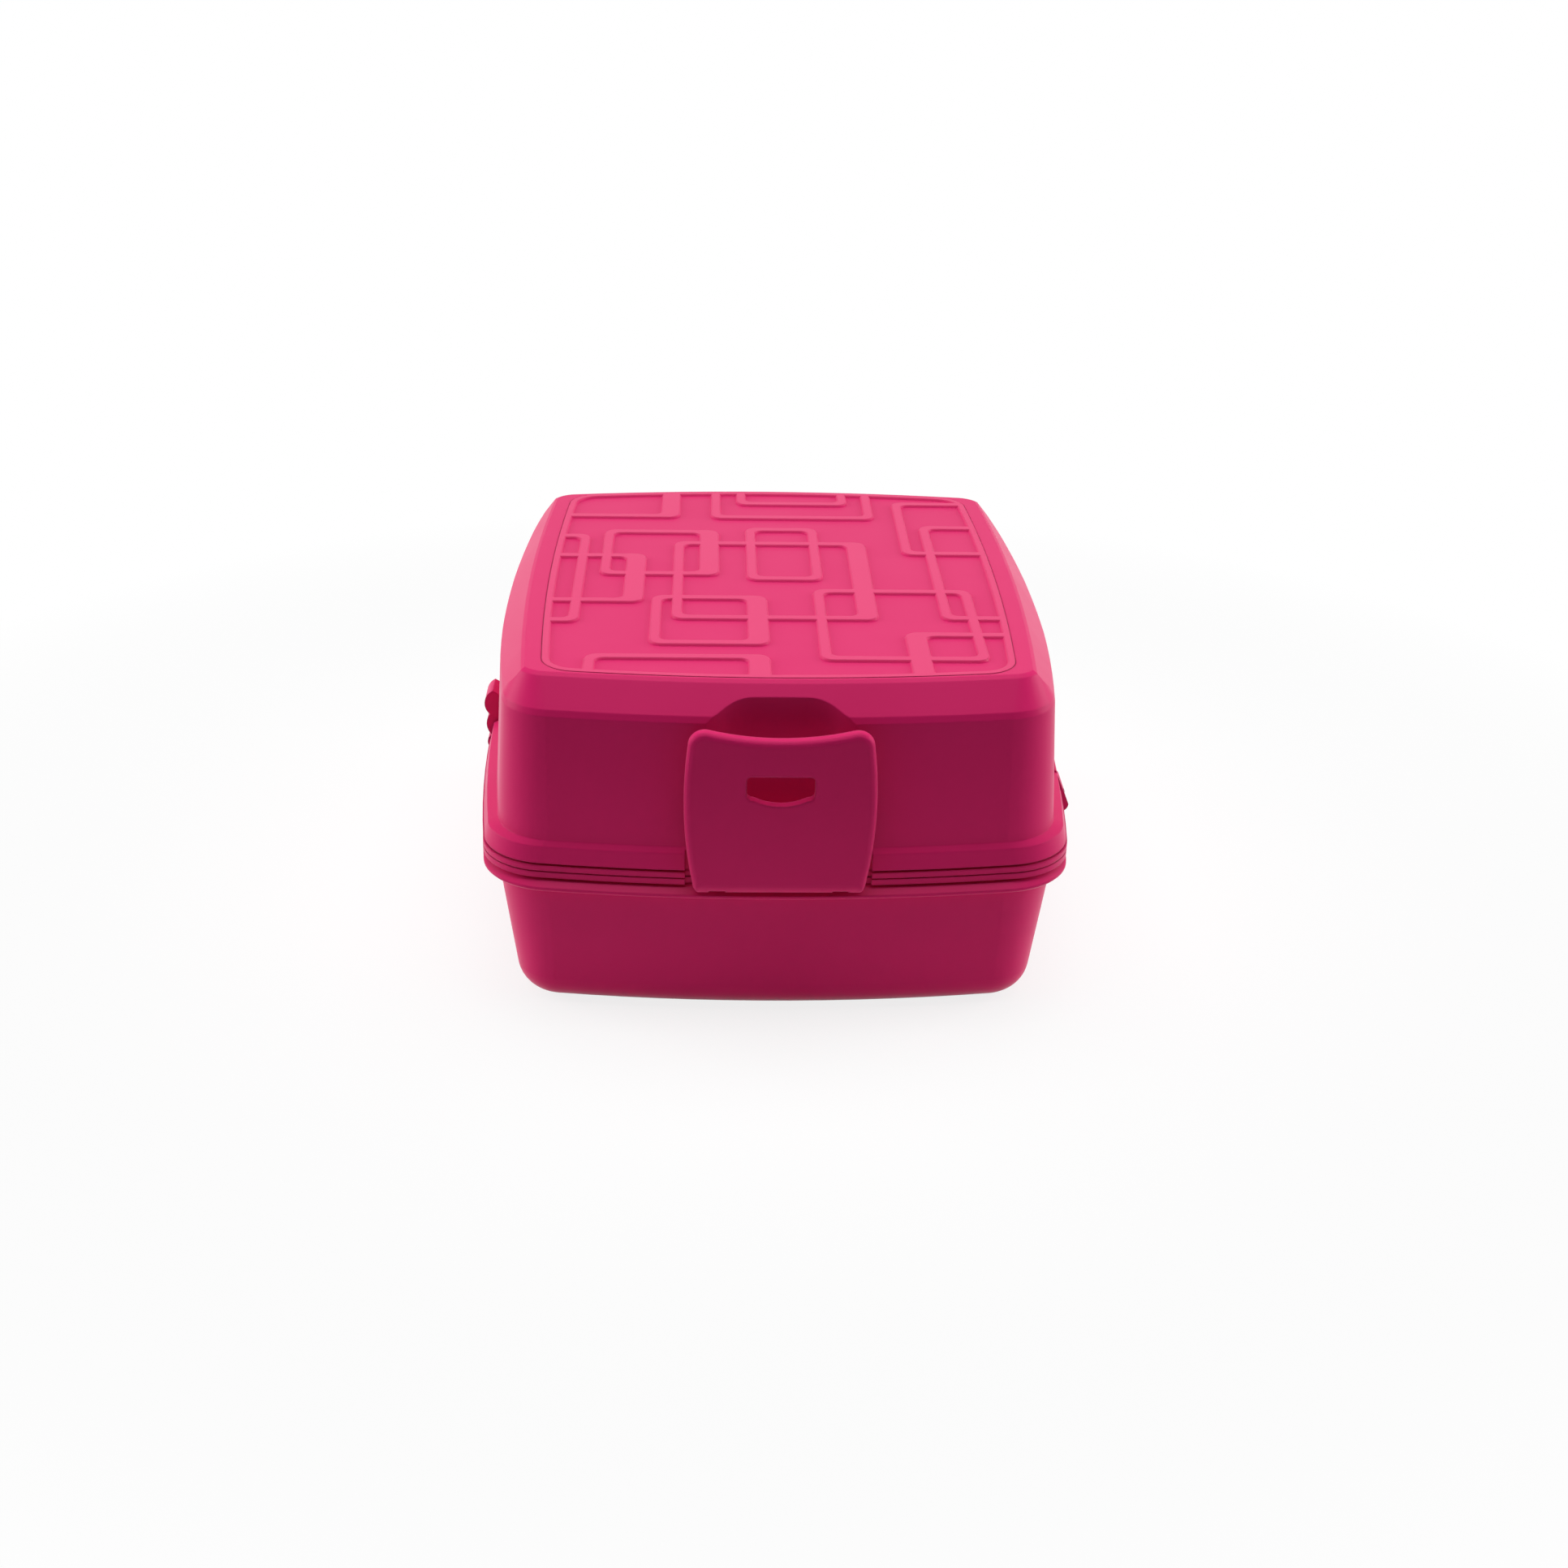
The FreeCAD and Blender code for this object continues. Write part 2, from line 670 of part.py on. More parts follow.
def scoop(name, turn, extra):
    """The bell-shaped finger scoop behind an end latch, leaning with the wall, or its backing when it
    is made larger."""
    spread = "(scoop_half - scoop_crown)"
    square = "(%s ^ 2 + scoop_depth ^ 2)" % spread
    radius = "%s / (4 * scoop_depth)" % square
    side = "(scoop_half + scoop_crown) / 2 + %s * 2 * scoop_depth * %s / %s" % (extra, spread, square)
    side_depth = "scoop_depth / 2 + %s * (%s ^ 2 - scoop_depth ^ 2) / %s" % (extra, spread, square)
    draft = "(lid_wall_inset - lid_foot_inset) / lid_wall_h"
    plans = []
    for level, z in (("foot", "scoop_z - %s" % extra), ("head", "lid_top_z + %s" % extra)):
        wall = "(lid_foot_inset + (%s - lid_foot_z) * %s - rim_half_y)" % (z, draft)
        plan = new_sketch("%s_%s" % (name, level), "plan", turn, z=z)
        loop(plan, [
            ("-scoop_half", "%s - over" % wall),
            ("scoop_half", "%s - over" % wall),
            ("scoop_half", "%s + %s" % (wall, extra), "%s - %s" % (radius, extra), -1),
            (side, "%s + %s" % (wall, side_depth), "%s + %s" % (radius, extra), 1),
            ("scoop_crown", "%s + scoop_depth + %s" % (wall, extra)),
            ("-scoop_crown", "%s + scoop_depth + %s" % (wall, extra), "%s + %s" % (radius, extra), 1),
            ("-(%s)" % side, "%s + %s" % (wall, side_depth), "%s - %s" % (radius, extra), -1),
            ("-scoop_half", "%s + %s" % (wall, extra)),
        ])
        plans.append(plan)
    return loft(name, *plans)


def side_bevel(name, turn):
    """The wedge taken off a long top edge, bowed like the side."""
    sketch = new_sketch(name + "_profile", "front", turn)
    slope = "((side_bevel_top_inset - side_bevel_inset) / side_bevel_h)"
    low_z = "(lid_top_z - side_bevel_h + bevel_soft)"
    high_z = "(lid_top_z - bevel_soft)"
    low_inset = "(side_bevel_inset + %s * bevel_soft)" % slope
    high_inset = "(side_bevel_top_inset - %s * bevel_soft)" % slope
    foot = ("rim_half_x + over - %s" % low_inset, "%s - over / %s * 2" % (low_z, slope))
    head = ("rim_half_x - %s - over * %s * 2" % (high_inset, slope), "%s + over" % high_z)
    loop(sketch, [
        foot,
        ("rim_half_x + 2 * over", foot[1]),
        ("rim_half_x + 2 * over", head[1]),
        head,
        ("rim_half_x - %s" % high_inset, high_z),
        ("rim_half_x - %s" % low_inset, low_z),
    ])
    wedge = doc.addObject("Part::Revolution", name)
    wedge.Source = sketch
    wedge.Axis = Z_AXIS
    wedge.Symmetric = True
    wedge.Solid = True
    wedge.setExpression("Angle", bind("side_bevel_turn"))
    sign = 1 if turn == 0 else -1
    wedge.setExpression("Base.x", bind("%d * (rim_half_x - side_bevel_r)" % sign))
    return wedge


def bevel_sections():
    """Plans of the lid from the top of its wall to its top: an end bevel with a soft edge at each side."""
    end_slope = "((bevel_end_inset - lid_wall_inset) / bevel_h)"
    side_slope = "((bevel_side_inset - lid_wall_inset) / bevel_h)"
    corner_slope = "((rim_corner_r - lid_wall_inset - bevel_corner_r) / bevel_h)"
    draft = "((lid_wall_inset - lid_foot_inset) / lid_wall_h)"
    low_inset = "(lid_wall_inset - %s * 1.5 * bevel_soft)" % draft
    plans = [("wall_top", "lid_wall_z - 1.5 * bevel_soft", low_inset, None, None)]
    for name, rise in (("bevel_low", "bevel_soft"), ("bevel_high", "(bevel_h - bevel_soft)")):
        end_inset = "(lid_wall_inset + %s * %s)" % (end_slope, rise)
        side_inset = "(lid_wall_inset + %s * %s)" % (side_slope, rise)
        corner_r = "(rim_corner_r - lid_wall_inset - %s * %s)" % (corner_slope, rise)
        plans.append((name, "lid_wall_z + %s" % rise, end_inset, side_inset, corner_r))
    plans.append(("bevel_top", "lid_top_z", "bevel_end_inset + bevel_soft", "bevel_side_inset + bevel_soft",
                  "bevel_corner_r"))
    return [inset_outline(*plan) for plan in plans]


def build_lid():
    """The upper shell: bead, groove, skirt, drafted wall, bevels, finger scoops, catches and hinge ears."""
    bead_plan = inset_outline("lid_bead_plan", "lid_z", "bead_inset", "-bead_side_out")
    bead = extrude("lid_bead", bead_plan, "lid_bead_t")
    neck = ring_of("lid_neck", "lid_z", "lid_bead_t + groove_t", "neck_inset")
    skirt_foot = inset_outline("skirt_foot", "skirt_z", "skirt_inset", "-skirt_side_out")
    shoulder_foot = inset_outline(
        "shoulder_foot", "shoulder_z", "skirt_top_inset", "skirt_draft - skirt_side_out")
    skirt = loft("skirt", skirt_foot, shoulder_foot)
    wall_foot = inset_outline("wall_foot", "lid_foot_z", "lid_foot_inset")
    shoulder = loft("shoulder", shoulder_foot, wall_foot)
    wall = loft("wall", wall_foot, *bevel_sections())
    outer = fuse("lid_outer", bead, neck, skirt, shoulder, wall)
    side_bevels = fuse("side_bevels", side_bevel("bevel_east", 0), side_bevel("bevel_west", 180))
    outer = cut("lid_bevelled", outer, side_bevels)
    inner_foot = inset_outline("lid_inner_foot", "lid_z", "lid_inner_inset")
    knee_z = "(lid_wall_z - lid_wall_t)"
    knee = inset_outline("lid_inner_knee", knee_z, "lid_wall_inset + lid_wall_t")
    roof = inset_outline(
        "lid_inner_roof", "roof_z", "bevel_end_inset + lid_wall_t / 2",
        "side_bevel_top_inset + lid_wall_t / 2", "bevel_corner_r")
    hollow_low = loft("lid_hollow_low", inner_foot, knee)
    hollow_high = loft("lid_hollow_high", knee, roof)
    hollow = fuse("lid_hollow", hollow_low, hollow_high)
    front_backing = scoop("front_backing", 0, "lid_wall_t")
    rear_backing = scoop("rear_backing", 180, "lid_wall_t")
    backing = fuse("scoop_backing", front_backing, rear_backing)
    shell = cut("lid_shell", outer, cut("lid_space", hollow, backing))
    seat = extrude("seat", panel_outline("seat_plan", "seat_z", "panel_gap"), "2 * seat_depth")
    scoops = fuse("scoops", scoop("front_scoop", 0, "0"), scoop("rear_scoop", 180, "0"))
    shell = cut("lid_clear", shell, fuse("lid_rooms", seat, scoops, *ROOMS.values()))
    teeth = [end_tooth(FRONT), end_tooth(REAR), side_tooth(SIDE)]
    ear = new_sketch("ear_profile", "front")
    loop(ear, [
        ("hinge_x - ear_root", "ear_top_z"),
        ("hinge_x - ear_root", "lid_z"),
        ("hinge_x - knuckle_r", "lid_z"),
        ("hinge_x - knuckle_r", "hinge_z", "knuckle_r", 1),
        ("hinge_x", "hinge_z - knuckle_r", "knuckle_r", 1),
        ("hinge_x + knuckle_r", "hinge_z"),
        ("hinge_x - ear_top", "ear_top_z"),
    ])
    ears = pair("ears", ear, "ear_out", "ear_in")
    solid = fuse("lid_solid", shell, ears, *teeth)
    pin_round = hinge_disc("hinge_lid_hole", "hinge_pin_r + bore_gap")
    bore_length = "2 * (ear_out - hinge_pin_drop + bore_gap)"
    pin_hole = extrude("hinge_lid_bore", pin_round, bore_length, both_ways=True)
    lid = cut("lid", solid, pin_hole)
    lid.Label = "lid"
    return lid


def end_tooth(latch):
    """The catch on the lid's wall that an end latch's rib snaps over."""
    sketch = latch.sketch("tooth")
    top = "rib_z - lug_gap"
    low = "rib_z - lug_gap - tooth_t"
    loop(sketch, [
        ("-tooth_root", "%s - tooth_slope" % low),
        ("-tooth_root", top),
        ("-tooth_d", top),
        ("-tooth_d", low),
    ])
    return extrude(latch.node + "_tooth", sketch, "2 * tooth_half", both_ways=True)


def side_tooth(latch):
    """The low catch on the lid's wall under the side latch."""
    sketch = latch.sketch("tooth")
    loop(sketch, [
        ("-side_tooth_root", "side_tooth_z - side_tooth_t"),
        ("-side_tooth_root", "side_tooth_z + 2 * side_tooth_t"),
        ("-side_tooth_d", "side_tooth_z + side_tooth_t"),
        ("-side_tooth_d", "side_tooth_z"),
    ])
    return extrude(latch.node + "_tooth", sketch, "side_half", both_ways=True)


def panel_outline(name, z, grow):
    return bowed_outline(
        name, z, "panel_half_x + %s" % grow, "panel_half_y + %s" % grow,
        "panel_side_r + %s" % grow, "panel_end_r + %s" % grow, "panel_corner_r + %s" % grow)


def rounded_box(sketch, west, east, south, north, radius):
    loop(sketch, [
        ("%s + %s" % (west, radius), south),
        ("%s - %s" % (east, radius), south, radius, 1),
        (east, "%s + %s" % (south, radius)),
        (east, "%s - %s" % (north, radius), radius, 1),
        ("%s - %s" % (east, radius), north),
        ("%s + %s" % (west, radius), north, radius, 1),
        (west, "%s - %s" % (north, radius)),
        (west, "%s + %s" % (south, radius), radius, 1),
    ])


def build_panel():
    """The top panel: a plate with a raised frame and raised rings that run into one another."""
    plate_t = "panel_t - relief"
    plate = extrude("panel_plate", panel_outline("panel_plan", "seat_z", "0"), plate_t)
    top_z = "seat_z + panel_t - relief"
    block = extrude("panel_block", panel_outline("panel_block_plan", top_z, "0"), "relief")
    field_plan = panel_outline("panel_field_plan", top_z, "-frame_w")
    field = extrude("panel_field", field_plan, "relief", taper="relief_draft")
    frame = cut("panel_frame", block, field)
    rings = []
    inwards = {"west": "+", "east": "-", "south": "+", "north": "-"}
    for name, ring in RINGS.items():
        sketch = new_sketch(name + "_plan", "plan", z=top_z)
        outer = []
        inner = []
        for side, sign in inwards.items():
            edge = "%s_%s" % (name, side)
            width = "wide_stroke" if side == ring[-1] else "stroke"
            outer.append(edge)
            inner.append("%s %s %s" % (edge, sign, width))
        rounded_box(sketch, *outer, "ring_r")
        rounded_box(sketch, *inner, "(ring_r - stroke / 2)")
        rings.append(extrude(name, sketch, "relief", taper="-relief_draft"))
    trimmed = common("panel_rings", fuse("ring_field", *rings), block)
    panel = fuse("lid_panel", plate, frame, trimmed)
    panel.Refine = True
    panel.Label = "lid_panel"
    return panel


def build_end_latch(latch):
    """A tall latch plate with bowed sides and a dipped top, rolled at the foot round its pin."""
    face = "-(latch_d + latch_barrel_r)"
    back = "-(latch_d + latch_barrel_r - latch_t)"
    above = "latch_top_z + over"
    profile = latch.sketch("profile")
    crown = "latch_z + sqrt(latch_barrel_r ^ 2 - (latch_barrel_r - latch_t) ^ 2)"
    loop(profile, [
        (face, "latch_z"),
        (face, above),
        (back, above),
        (back, crown, "latch_barrel_r", -1),
        ("-(latch_d - latch_barrel_r)", "latch_z", "latch_barrel_r", -1),
        ("-latch_d", "latch_z - latch_barrel_r", "latch_barrel_r", -1),
    ])
    bar = extrude(latch.node + "_bar", profile, "2 * (latch_half_top + over)", both_ways=True)
    views = [latch_view(latch, "root", "latch_d / 2", "0")]
    for turn in ROUND_STEPS:
        forward = "latch_d + latch_barrel_r - latch_edge_r * %.4f" % (1 - math.sin(math.radians(turn)))
        shrink = "latch_edge_r * %.4f" % (1 - math.cos(math.radians(turn)))
        views.append(latch_view(latch, "view_%d" % turn, forward, shrink))
    plate = common(latch.node + "_plate", bar, loft(latch.node + "_slab", *views))
    rib = latch.sketch("rib")
    loop(rib, [
        ("-(latch_d + latch_barrel_r - latch_t / 2)", "rib_z"),
        ("-rib_d", "rib_z"),
        ("-rib_d", "rib_z + rib_t / 2"),
        ("-(latch_d + latch_barrel_r - latch_t / 2)", "rib_z + rib_t"),
    ])
    rib_bar = extrude(latch.node + "_rib", rib, "2 * rib_half", both_ways=True)
    ribbed = fuse(latch.node + "_ribbed", plate, rib_bar)
    slot = new_sketch(latch.node + "_slot_view", "front", latch.turn)
    loop(slot, [
        ("-slot_half", "slot_side_z", "slot_low_r", 1),
        ("-(slot_half - slot_low_r)", "slot_side_z - slot_low_h", "slot_r", 1),
        ("slot_half - slot_low_r", "slot_side_z - slot_low_h", "slot_low_r", 1),
        ("slot_half", "slot_side_z"),
        ("slot_half", "slot_top_z - slot_corner_r", "slot_corner_r", 1),
        ("slot_half - slot_corner_r", "slot_top_z"),
        ("-(slot_half - slot_corner_r)", "slot_top_z", "slot_corner_r", 1),
        ("-slot_half", "slot_top_z - slot_corner_r"),
    ])
    window = extrude(latch.node + "_slot", slot, "2 * latch_d")
    bore = latch.bore("bore", "%s + bore_gap" % latch.pin_r)
    node = cut(latch.node, ribbed, fuse(latch.node + "_cuts", window, latch.lug_slots(), bore))
    node.Label = latch.node
    return node


def latch_view(latch, name, forward, shrink):
    """The outline of an end latch seen from outside, drawn in by an amount."""
    view = new_sketch(latch.node + "_" + name, "front", latch.turn, forward=forward)
    low = "latch_z - latch_barrel_r + %s" % shrink
    half_low = "latch_half_low - %s" % shrink
    half_top = "latch_half_top - %s" % shrink
    low_r = "(latch_low_r - %s)" % shrink
    top_r = "(latch_top_r - %s)" % shrink
    side_r = "latch_side_r - %s" % shrink
    corner_x = "(latch_half_top - latch_top_r)"
    corner_z = "(latch_top_z - latch_top_r)"
    reach = "(latch_dip_r + latch_top_r)"
    brow_x = "%s * (1 - %s / %s)" % (corner_x, top_r, reach)
    brow_z = "%s + %s / %s * sqrt(%s ^ 2 - %s ^ 2)" % (corner_z, top_r, reach, reach, corner_x)
    loop(view, [
        ("-(%s - %s)" % (half_low, low_r), low),
        ("%s - %s" % (half_low, low_r), low, low_r, 1),
        (half_low, "%s + %s" % (low, low_r), side_r, 1),
        (half_top, corner_z, top_r, 1),
        (brow_x, brow_z, "latch_dip_r + %s" % shrink, -1),
        ("-(%s)" % brow_x, brow_z, top_r, 1),
        ("-(%s)" % half_top, corner_z, side_r, 1),
        ("-(%s)" % half_low, "%s + %s" % (low, low_r), low_r, 1),
    ])
    return view


def build_side_latch(latch):
    """A small lever with a two-lobed grip, rolled at the foot round its pin."""
    profile = latch.sketch("profile")
    inner = "-side_inner_d"
    rise = "side_z + sqrt(side_barrel_r ^ 2 - (side_d - side_inner_d) ^ 2)"
    loop(profile, [
        ("-side_d", "side_z - side_barrel_r", "side_barrel_r", -1),
        ("-(side_d + side_barrel_r)", "side_z", "side_barrel_r", -1),
        latch.polar("side_barrel_r", "side_roll_angle"),
        ("-(side_d + side_neck_out)", "side_z + side_neck_h", "side_low_lobe_r", -1),
        ("-(side_d + side_waist_out)", "side_z + side_waist_h", "side_top_lobe_r", -1),
        ("-(side_d + side_top_out)", "side_top_z"),
        (inner, "side_top_z - side_tip_t"),
        (inner, rise, "side_barrel_r", -1),
        ("-(side_d - side_barrel_r)", "side_z", "side_barrel_r", -1),
    ])
    lever = extrude("side_lever", profile, "2 * side_half", both_ways=True)
    bore = latch.bore("bore", "%s + bore_gap" % latch.pin_r)
    node = cut(latch.node, lever, fuse("side_latch_cuts", latch.lug_slots(), bore))
    node.Label = latch.node
    return node


def build_hinge_pins():
    """One pin in each half of the hinge, held in the base's barrel."""
    pins = []
    for node, start in (("hinge_pin_front", "hinge_pin_drop - ear_out"), ("hinge_pin_rear", "barrel_in")):
        pin = doc.addObject("Part::Cylinder", node)
        pin.Placement = FreeCAD.Placement(FreeCAD.Vector(), FreeCAD.Rotation(X_AXIS, -90))
        pin.setExpression("Radius", bind("hinge_pin_r"))
        pin.setExpression("Height", bind("ear_out - hinge_pin_drop - barrel_in"))
        pin.setExpression("Placement.Base.x", bind("hinge_x"))
        pin.setExpression("Placement.Base.y", bind(start))
        pin.setExpression("Placement.Base.z", bind("hinge_z"))
        pin.Label = node
        pins.append(pin)
    return pins


def build_tray():
    """The lift-out tray: long lanes for bobbins stood on edge, with finger notches in the end walls."""
    outer = loft(
        "tray_outer",
        inset_outline("tray_foot", "floor_t", "tray_foot_inset", corner_r="tray_foot_r + tray_wall"),
        inset_outline("tray_top", "tray_top_z", "tray_top_inset", corner_r="tray_foot_r + tray_wall"))
    outer = fillet("tray_round", outer, "tray_foot_r", at_height("floor_t"))
    floor = "floor_t + tray_wall"
    inner = loft(
        "tray_inner",
        inset_outline("tray_inner_foot", floor, "tray_foot_inset + tray_wall", corner_r="tray_foot_r"),
        inset_outline("tray_inner_top", "tray_top_z", "tray_top_inset + tray_wall", corner_r="tray_foot_r"))
    inner = fillet("tray_inner_round", inner, "tray_inner_r", at_height(floor))
    shell = cut("tray_shell", outer, inner)
    walls = []
    for index in range(LANES - 1):
        place = index + 1 - LANES / 2
        profile = new_sketch("lane_wall_profile_%d" % index, "front")
        west = "%s * lane_pitch - lane_wall / 2" % place
        east = "%s * lane_pitch + lane_wall / 2" % place
        foot = floor + " - tray_wall / 2"
        spread = floor + " + lane_foot_r"
        loop(profile, [
            ("%s - lane_foot_r" % west, foot),
            ("%s + lane_foot_r" % east, foot),
            ("%s + lane_foot_r" % east, floor, "lane_foot_r", -1),
            (east, spread),
            (east, "lane_wall_z"),
            (west, "lane_wall_z"),
            (west, spread, "lane_foot_r", -1),
            ("%s - lane_foot_r" % west, floor),
        ])
        walls.append(extrude("lane_wall_%d" % index, profile, "2 * rim_half_y", both_ways=True))
    lanes = common("tray_lanes", fuse("lane_walls", *walls), outer)
    solid = fuse("tray_solid", shell, lanes)
    notch = new_sketch("grip_profile", "front")
    disc(notch, "0", "tray_top_z", "grip_r")
    tray = cut("tray", solid, extrude("grip", notch, "2 * rim_half_y", both_ways=True))
    tray.Label = "tray"
    return tray


def check(nodes):
    """Stop if any object failed or any piece is not one sound solid."""
    doc.recompute()
    failed = [o.Name for o in doc.Objects if "Invalid" in o.State or "Error" in o.State]
    if failed:
        raise RuntimeError("failed objects: " + ", ".join(failed))
    for node in nodes:
        shape = node.Shape
        if shape.isNull() or not shape.isValid():
            raise RuntimeError("bad shape: " + node.Label)
        if len(shape.Solids) != 1:
            raise RuntimeError("%s has %d solids" % (node.Label, len(shape.Solids)))


nodes = [build_base(), build_lid(), build_panel(), build_tray()]
nodes += [build_end_latch(FRONT), build_end_latch(REAR), build_side_latch(SIDE)]
nodes += [latch.pin() for latch in LATCHES]
nodes += build_hinge_pins()
check(nodes)
os.makedirs("parts", exist_ok=True)
for node in nodes:
    node.Shape.exportStep("parts/%s.step" % node.Label)
    box = node.Shape.BoundBox
    print("%-18s %9.1f mm3  X %.1f..%.1f  Y %.1f..%.1f  Z %.1f..%.1f" % (
        node.Label, node.Shape.Volume, box.XMin, box.XMax, box.YMin, box.YMax, box.ZMin, box.ZMax))
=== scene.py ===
# %% [markdown]
# A bobbin box in one bright colour. It is a moulded plastic case: a tub with a sloped lip, a lid with
# bevelled edges and an embossed panel set in its top, two tall end latches, one small side latch and a
# lift-out tray. The solids already have the real sizes, so this script loads them as a fixed frame and
# gives them their finishes, their light and a camera at the photograph's viewing angle.

# %% Load the frame
import math

import bpy
import bmesh
from mathutils import Matrix, Vector


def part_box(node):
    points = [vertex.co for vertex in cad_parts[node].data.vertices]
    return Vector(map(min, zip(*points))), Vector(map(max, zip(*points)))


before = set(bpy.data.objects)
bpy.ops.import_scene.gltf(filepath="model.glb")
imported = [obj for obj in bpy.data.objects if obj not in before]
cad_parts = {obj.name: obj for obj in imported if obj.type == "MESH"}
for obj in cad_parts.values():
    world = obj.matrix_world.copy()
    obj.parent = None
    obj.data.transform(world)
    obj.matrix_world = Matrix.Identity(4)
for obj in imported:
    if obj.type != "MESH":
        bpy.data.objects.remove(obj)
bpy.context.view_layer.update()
print("solids:", sorted(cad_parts))

# %% [markdown]
# Every finish below is a small graph of shader nodes. Three helpers keep those graphs short. The first
# turns a colour as a painter would write it, in sRGB hex, into the linear values that light adds up in.
# The second adds one node, sets its options and joins its inputs. The third starts an empty material.

# %% Colour and node helpers
MM = 0.001
PURE_WHITE = "#FFFFFF"


def linear(hex_code):
    """An sRGB hex colour as linear red, green, blue and full alpha."""
    channels = [int(hex_code[i:i + 2], 16) / 255 for i in (1, 3, 5)]
    curve = [c / 12.92 if c <= 0.04045 else ((c + 0.055) / 1.055) ** 2.4 for c in channels]
    return (*curve, 1.0)


def add(tree, kind, inputs=None, **settings):
    """Add a node. An input is a value, or a socket to link from."""
    node = tree.nodes.new(kind)
    for name, value in settings.items():
        setattr(node, name, value)
    for name, value in (inputs or {}).items():
        if isinstance(value, bpy.types.NodeSocket):
            tree.links.new(value, node.inputs[name])
        else:
            node.inputs[name].default_value = value
    return node


def new_material(name):
    """An empty node material, its tree and its output."""
    material = bpy.data.materials.new(name)
    material.use_nodes = True
    material.node_tree.nodes.clear()
    return material, material.node_tree, add(material.node_tree, "ShaderNodeOutputMaterial")


# %% [markdown]
# The shell is moulded polypropylene coloured right through. A satin tool gives it a fine even grain,
# and the flow of the melt leaves slow changes in gloss and a slight drift of colour. On the photograph
# this shows as soft, wide highlights with no sharp reflections. Noise on Object coordinates draws both,
# at the same size on every piece.
#
# Polypropylene has an IOR near 1.49. The grain of a satin tool is a few hundredths of a millimetre, far
# too fine to show here, so it is drawn at about 0.5 mm and kept very shallow. Such a grain breaks up
# mirror reflections, so the specular level is low, and a little sheen lightens faces seen edge on.
#
# No moulded edge is sharp. Bevels could be cut in the mesh, but the solids have to stay as they are, so
# a Bevel node shades each edge as if it were rounded. The end latches have the rounder edges.

# %% Moulded polypropylene
POLYPROPYLENE_IOR = 1.49
GRAIN_SIZE, GRAIN_DEPTH = 0.5 * MM, 0.05 * MM
FLOW_SIZE = 45 * MM
FLOW_LOW, FLOW_HIGH = 0.3, 0.7
GLOSSIER, DULLER = -0.03, 0.04


def moulded_polypropylene(name, colours, roughness, edge, crown_highlight=None):
    """Satin moulded plastic: fine grain, slow gloss changes, a slight drift between two colours and
    edges that shade as if rounded. A crown_highlight, two heights and a colour, paints a highlight on
    what stands high."""
    material, tree, output = new_material(name)
    colour, shade = colours
    place = add(tree, "ShaderNodeTexCoord").outputs["Object"]
    grain = add(tree, "ShaderNodeTexNoise", {
        "Vector": place, "Scale": 1 / GRAIN_SIZE, "Detail": 2.0, "Roughness": 0.6})
    flow = add(tree, "ShaderNodeTexNoise", {
        "Vector": place, "Scale": 1 / FLOW_SIZE, "Detail": 3.0, "Roughness": 0.55, "Distortion": 0.6})
    gloss = add(tree, "ShaderNodeMapRange", {
        "Value": flow.outputs["Fac"], "From Min": FLOW_LOW, "From Max": FLOW_HIGH,
        "To Min": roughness + GLOSSIER, "To Max": roughness + DULLER})
    drift = add(tree, "ShaderNodeMix", {
        "Factor": flow.outputs["Fac"], "A": linear(colour), "B": linear(shade)}, data_type="RGBA")
    tint = drift.outputs["Result"]
    # Painted highlight: a paler colour is painted on what stands above the first height.
    if crown_highlight:
        low, high, highlight_colour = crown_highlight
        height = add(tree, "ShaderNodeSeparateXYZ", {"Vector": place}).outputs["Z"]
        highlight_mask = add(tree, "ShaderNodeMapRange", {"Value": height, "From Min": low, "From Max": high})
        tint = add(tree, "ShaderNodeMix", {
            "Factor": highlight_mask.outputs["Result"], "A": tint, "B": linear(highlight_colour)},
            data_type="RGBA").outputs["Result"]
    soft = add(tree, "ShaderNodeBevel", {"Radius": edge})
    relief = add(tree, "ShaderNodeBump", {
        "Height": grain.outputs["Fac"], "Strength": 0.06, "Distance": GRAIN_DEPTH,
        "Normal": soft.outputs["Normal"]})
    plastic = add(tree, "ShaderNodeBsdfPrincipled", {
        "Base Color": tint, "Roughness": gloss.outputs["Result"], "IOR": POLYPROPYLENE_IOR,
        "Specular IOR Level": 0.07, "Sheen Weight": 0.09, "Sheen Roughness": 0.4,
        "Normal": relief.outputs["Normal"]})
    tree.links.new(plastic.outputs["BSDF"], output.inputs["Surface"])
    return material


# %% [markdown]
# Four plastics come from that one recipe. The shells and the latches share one colour. The rings on the
# panel get a painted highlight: they are painted a little paler on their crowns, fading in over the last
# half millimetre of their height. The tray is left the natural milky white of the plastic.

# %% The four plastics
SHELL_COLOURS = ("#D62168", "#D01E63")
# The paler ring colour is a painted highlight on the crowns of the rings.
RING_HIGHLIGHT_COLOUR = "#DA3A70"
TRAY_COLOURS = ("#EDEAE6", "#E6E2DC")
SHELL_ROUGHNESS, TRAY_ROUGHNESS = 0.36, 0.42
SHELL_EDGE, LATCH_EDGE = 0.5 * MM, 1.0 * MM
HIGHLIGHT_STARTS, HIGHLIGHT_FULL = 0.5 * MM, 0.1 * MM

